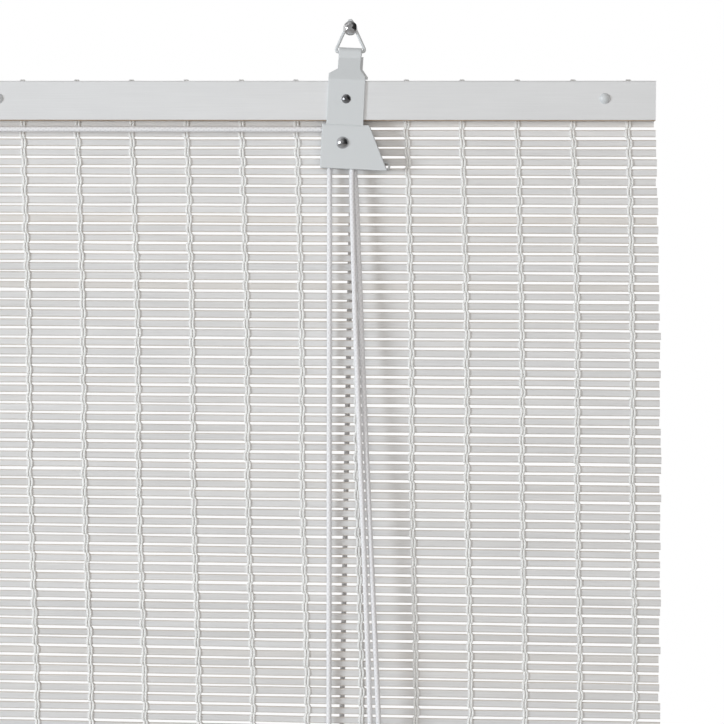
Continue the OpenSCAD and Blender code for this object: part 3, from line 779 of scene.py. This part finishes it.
def line(start, stop, step=4 * MM):
    """Points about step apart on a straight line."""
    start, stop = np.array(start, float), np.array(stop, float)
    count = max(2, int(np.linalg.norm(stop - start) / step) + 1)
    return start + (stop - start) * np.linspace(0, 1, count)[:, None]


def joined(*parts):
    """Several runs of points as one, without the doubled points where they meet."""
    path = np.vstack(parts)
    far = np.linalg.norm(np.diff(path, axis=0), axis=1) > 0.05 * MM
    return path[np.concatenate([[True], far])]


class BLIND_OT_pull_cords(bpy.types.Operator):
    """Makes the two free pull cords, which carry the cord pull at their lower ends."""

    bl_idname = "blind.pull_cords"
    bl_label = "Make pull cords"

    def execute(self, context):
        radius = context.scene.blind_cords.radius
        material = bpy.data.materials["Braided cord"]
        for number, route in ((1, PULL_1), (2, PULL_2)):
            path = smooth_route(route, 3.5 * MM)
            piece = cord_object(f"pull_cord_{number}_braid", path, radius, material)
            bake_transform(piece)
            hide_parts(f"pull_cord_{number}")
        return {"FINISHED"}


class BLIND_OT_lift_cords(bpy.types.Operator):
    """Makes the cross cord, the turn in the lock, the lift cords and the loops under the roll."""

    bl_idname = "blind.lift_cords"
    bl_label = "Make lift cords"

    def execute(self, context):
        cords = context.scene.blind_cords
        radius, wrap = cords.radius, cords.wrap_r
        material = bpy.data.materials["Braided cord"]

        def add(name, path, body, *nodes):
            piece = cord_object(name, path, radius, material)
            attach(piece, body)
            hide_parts(*nodes)
            return piece

        def add_knot(name, middle, size):
            turn = np.linspace(0, 4 * math.pi, 41)
            rise = np.linspace(-0.45, 0.45, 41) * size
            ring = 0.45 * size * np.ones(41)
            path = np.array(middle) + np.stack(
                [ring * np.cos(turn), 0.9 * ring * np.sin(turn), rise], axis=-1)
            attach(cord_object(name, path, 0.55 * size, material, 10), "blind")

        for side, at in (("right", PULLEY_AT), ("left", GUIDE_AT)):
            front_low = np.array(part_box(f"lift_cord_{side}_front")[0])
            back_low, back_high = (np.array(c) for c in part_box(f"lift_cord_{side}_back"))
            loop_low = np.array(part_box(f"lift_loop_{side}")[0])
            x = at[0] - wrap
            top_y = front_low[1] + radius
            loop_r = ROLL_Y - loop_low[1] - radius
            strand = line((x, top_y, at[2]), (x, ROLL_Y - loop_r, front_low[2]))
            piece = add(f"lift_front_{side}", strand, "blind", f"lift_cord_{side}_front")
            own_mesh(piece)
            end_turn = math.radians(cords.loop_turn)
            turn = np.linspace(0, end_turn, 44)
            loop = np.stack([np.full(44, x), ROLL_Y - loop_r * np.cos(turn),
                             ROLL_Z - loop_r * np.sin(turn)], axis=-1)
            add(f"lift_loop_{side}_braid", loop, "roll", f"lift_loop_{side}")
            staple_low, staple_high = (np.array(c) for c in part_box(f"cord_staple_{side}"))
            anchor = ((staple_low[0] + staple_high[0]) / 2, back_low[1] + radius, back_high[2])
            strand = line(loop[-1], anchor)
            along = np.linspace(0, 1, len(strand))
            strand[:, 1] += 42 * MM * along * (1 - along) ** 4
            piece = add(f"lift_back_{side}", strand, "blind", f"lift_cord_{side}_back")
            knot = (anchor[0], anchor[1] + 0.8 * MM, anchor[2] - 2.1 * MM)
            add_knot(f"lift_knot_{side}", knot, 2.1 * MM)
            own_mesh(piece)
        turn = arc(PULLEY_AT, wrap, 0, 180, PULLEY_AT[1] + cords.beside, 30)
        add("lock_turn_braid", turn, "blind", "lock_turn_cord")
        y = PULLEY_AT[1] - cords.beside
        high = PULLEY_AT[2] + wrap
        across = line((GUIDE_AT[0], y, high), (PULLEY_AT[0], y, high))
        path = joined(arc(GUIDE_AT, wrap, 180, 90, y), across, arc(PULLEY_AT, wrap, 90, 0, y))
        add("cross_cord_braid", path, "blind", "cross_cord")
        return {"FINISHED"}


# The stage


def light(name, place_at, aim, size, power, tint):
    """A square area light of a tint that points from a place at an aim."""
    lamp = bpy.data.lights.new(name, "AREA")
    lamp.energy, lamp.size, lamp.color = power, size, tint
    piece = bpy.data.objects.new(name, lamp)
    piece.location = place_at
    direction = Vector(aim) - Vector(place_at)
    piece.rotation_euler = direction.to_track_quat("-Z", "Y").to_euler()
    bpy.context.scene.collection.objects.link(piece)
    return piece


class BLIND_OT_stage(bpy.types.Operator):
    """Sets the camera at the photo's angle, the lights, the pale floor and the white world."""

    bl_idname = "blind.stage"
    bl_label = "Set the stage"

    def execute(self, context):
        scene = context.scene
        lens = bpy.data.cameras.new("Camera")
        lens.sensor_width, lens.lens = 36.0, 110.2
        lens.clip_start, lens.clip_end = 0.01, 50
        camera = bpy.data.objects.new("Camera", lens)
        camera.location = scene.blind_stage.camera_at
        camera.rotation_euler = [math.radians(v) for v in scene.blind_stage.camera_turn]
        scene.collection.objects.link(camera)
        scene.camera = camera
        light("Key", (-1.75, -1.3, -0.03), (0.1, 0, -0.2), 0.6, 31.5, (0.89, 0.95, 1.0))
        fill = light("Fill", (0.25, -1.25, -0.1), (0.1, 0, -0.1), 0.9, 5.5, (1.0, 0.985, 0.96))
        fill.visible_glossy = False
        # Below the cord pull at full lift
        floor_z = -1.65
        corners = np.array([(-4, -4, floor_z), (4, -4, floor_z), (4, 4, floor_z), (-4, 4, floor_z)])
        pale, tree, shader = new_material("Pale floor", 0.7)
        shader.inputs["Base Color"].default_value = (0.6, 0.6, 0.6, 1)
        glow = tree.nodes.new("ShaderNodeEmission")
        blend = tree.nodes.new("ShaderNodeMixShader")
        seen = tree.nodes.new("ShaderNodeLightPath").outputs["Is Camera Ray"]
        tree.links.new(seen, blend.inputs[0])
        tree.links.new(shader.outputs[0], blend.inputs[1])
        tree.links.new(glow.outputs[0], blend.inputs[2])
        tree.links.new(blend.outputs[0], tree.nodes["Material Output"].inputs["Surface"])
        floor = mesh_object("floor", corners, [np.array([[0, 1, 2, 3]])], [pale], smooth=False)
        wide, tall = 0.2, 0.012
        corners = np.array([(-wide, 0, -tall), (wide, 0, -tall), (wide, 0, tall), (-wide, 0, tall)])
        wall, tree, shader = new_material("White wall", 0.8)
        shader.inputs["Base Color"].default_value = (0.8, 0.8, 0.8, 1)
        seen = tree.nodes.new("ShaderNodeLightPath").outputs["Is Camera Ray"]
        back = tree.nodes.new("ShaderNodeNewGeometry").outputs["Backfacing"]
        layers = [shader]
        for chosen, kind in ((seen, "ShaderNodeEmission"), (back, "ShaderNodeBsdfTransparent")):
            over = tree.nodes.new(kind)
            blend = tree.nodes.new("ShaderNodeMixShader")
            tree.links.new(chosen, blend.inputs[0])
            tree.links.new(layers[-1].outputs[0], blend.inputs[1])
            tree.links.new(over.outputs[0], blend.inputs[2])
            layers.append(blend)
        tree.links.new(layers[-1].outputs[0], tree.nodes["Material Output"].inputs["Surface"])
        strip = mesh_object("wall_strip", corners, [np.array([[0, 1, 2, 3]])], [wall], smooth=False)
        world = bpy.data.worlds.new("White room")
        world.use_nodes = True
        tree = world.node_tree
        tree.nodes.clear()
        out = tree.nodes.new("ShaderNodeOutputWorld")
        room = tree.nodes.new("ShaderNodeBackground")
        room.inputs["Color"].default_value = (1.0, 0.955, 0.905, 1)
        room.inputs["Strength"].default_value = scene.blind_stage.room
        white = tree.nodes.new("ShaderNodeBackground")
        white.inputs["Color"].default_value = (1, 1, 1, 1)
        white.inputs["Strength"].default_value = 1.0
        seen = tree.nodes.new("ShaderNodeLightPath").outputs["Is Camera Ray"]
        glossy = tree.nodes.new("ShaderNodeLightPath").outputs["Is Glossy Ray"]
        where = tree.nodes.new("ShaderNodeTexCoord").outputs["Generated"]
        bands = spread(tree, noise_node(tree, where, 1.0, 1.0, (2.2, 2.2, 3.4)), 0.15, 1.3)
        aside = tree.nodes.new("ShaderNodeSeparateXYZ")
        tree.links.new(where, aside.inputs[0])
        side = math_node(tree, "MULTIPLY_ADD", aside.outputs["X"], -0.8, 0.5)
        studio = tree.nodes.new("ShaderNodeBackground")
        strength = math_node(tree, "MULTIPLY", bands, math_node(tree, "MAXIMUM", side, 0.04))
        tree.links.new(strength, studio.inputs["Strength"])
        lit = tree.nodes.new("ShaderNodeMixShader")
        tree.links.new(glossy, lit.inputs[0])
        tree.links.new(room.outputs[0], lit.inputs[1])
        tree.links.new(studio.outputs[0], lit.inputs[2])
        mix = tree.nodes.new("ShaderNodeMixShader")
        tree.links.new(seen, mix.inputs[0])
        tree.links.new(lit.outputs[0], mix.inputs[1])
        tree.links.new(white.outputs[0], mix.inputs[2])
        tree.links.new(mix.outputs[0], out.inputs["Surface"])
        scene.world = world
        scene.view_settings.view_transform = "Standard"
        return {"FINISHED"}


class BlindStage(bpy.types.PropertyGroup):
    """Camera and light."""

    camera_at: bpy.props.FloatVectorProperty(
        name="Camera", description="Where the camera stands",
        default=(0.2073, -1.033, -0.0891), subtype="TRANSLATION", unit="LENGTH", size=3)
    camera_turn: bpy.props.FloatVectorProperty(
        name="Camera turn", description="Camera rotation in degrees about X, Y and Z",
        default=(86.4406, -0.1386, 2.2782), size=3)
    room: bpy.props.FloatProperty(
        name="Room light", description="Strength of the light from all around", default=0.37)


class BLIND_PT_panel(bpy.types.Panel):
    """Sizes and colours of the blind."""

    bl_label = "Bamboo blind"
    bl_idname = "BLIND_PT_panel"
    bl_space_type = "VIEW_3D"
    bl_region_type = "UI"
    bl_category = "Blind"

    def draw(self, context):
        for group in ("blind_mat", "blind_cords", "blind_colours", "blind_stage"):
            settings = getattr(context.scene, group)
            for key in settings.__annotations__:
                self.layout.prop(settings, key)
        for step in STEPS:
            self.layout.operator("blind." + step)


STEPS = ("materials", "stage", "pull_cords", "lift_cords", "slats", "threads")
GROUPS = {"blind_mat": BlindMat, "blind_cords": BlindCords, "blind_colours": BlindColours,
          "blind_stage": BlindStage}
CLASSES = (*GROUPS.values(), BLIND_OT_materials, BLIND_OT_stage, BLIND_OT_pull_cords,
           BLIND_OT_lift_cords, BLIND_OT_slats, BLIND_OT_threads, BLIND_PT_panel)


def register():
    """Registers the classes and hangs the settings on the scene."""
    for item in CLASSES:
        bpy.utils.register_class(item)
    for name, group in GROUPS.items():
        setattr(bpy.types.Scene, name, bpy.props.PointerProperty(type=group))


def unregister():
    """Takes the settings and classes away again."""
    for name in GROUPS:
        delattr(bpy.types.Scene, name)
    for item in reversed(CLASSES):
        bpy.utils.unregister_class(item)


def main():
    """Registers the add-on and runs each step."""
    register()
    for step in STEPS:
        getattr(bpy.ops.blind, step)()


if __name__ == "__main__":
    main()
